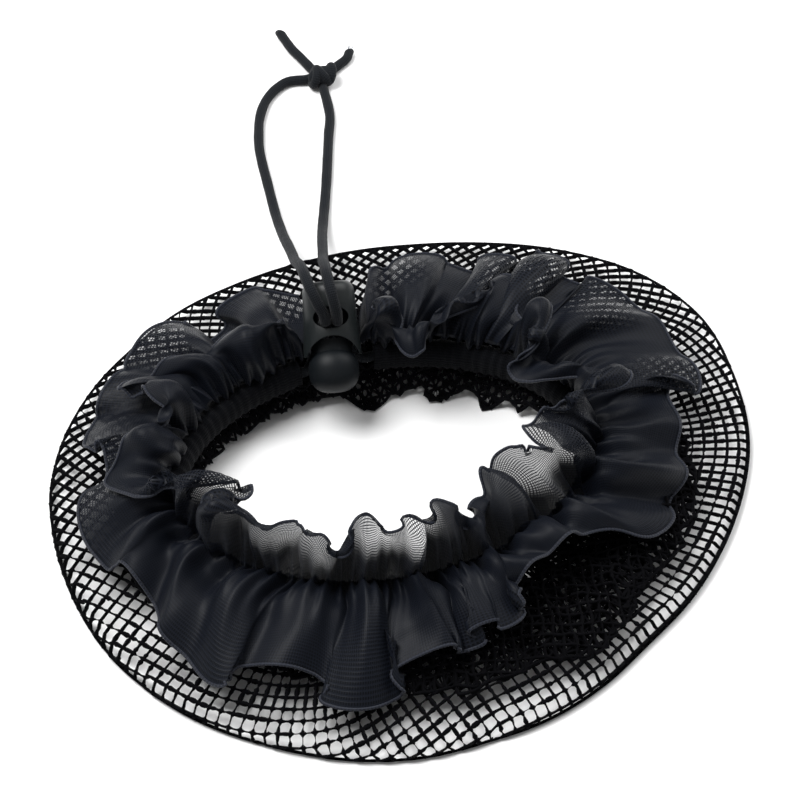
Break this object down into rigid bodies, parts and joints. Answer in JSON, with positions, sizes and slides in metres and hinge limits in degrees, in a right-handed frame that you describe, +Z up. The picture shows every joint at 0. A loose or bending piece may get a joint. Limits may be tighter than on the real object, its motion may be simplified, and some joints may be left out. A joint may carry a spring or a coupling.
{
  "type": "drawstring hairnet with ruffle",
  "caption": "Drawstring hairnet: a coarse net ring under a gathered organza ruffle, drawn in by an elastic cord through a spring cord lock.",
  "frame": {"origin": "centre of the net's outer rim, on the surface that the rim rests on", "axes": "+Z up out of the opening, -Y towards the viewer, the free cord runs back along +Y"},
  "size_m": [0.1894, 0.2769, 0.0444],
  "materials": {
    "net_cloth": "knotted black polyester mesh",
    "casing_cloth": "gathered black cloth tape",
    "organza": "sheer black organza with a rolled edge",
    "elastic": "braided black elastic",
    "barrel_plastic": "matte black moulded plastic",
    "button_plastic": "fine-grained black moulded plastic"
  },
  "bodies": {
    "hairnet": {"net": "net_cloth", "casing": "casing_cloth", "ruffle": "organza", "drawcord": "elastic", "cord_strand_left": "elastic", "cord_strand_right": "elastic", "cord_tail_left": "elastic", "cord_tail_right": "elastic", "cord_knot": "elastic", "cord_lock_barrel": "barrel_plastic"},
    "button": {"cord_lock_button": "button_plastic"}
  },
  "joints": [
    {"name": "button_press", "type": "slide", "parent": "hairnet", "child": "button", "axis": [-0.0751, 0.7393, 0.6691], "range_m": [0, 0.0025], "stiffness_N_per_m": 400}
  ]
}
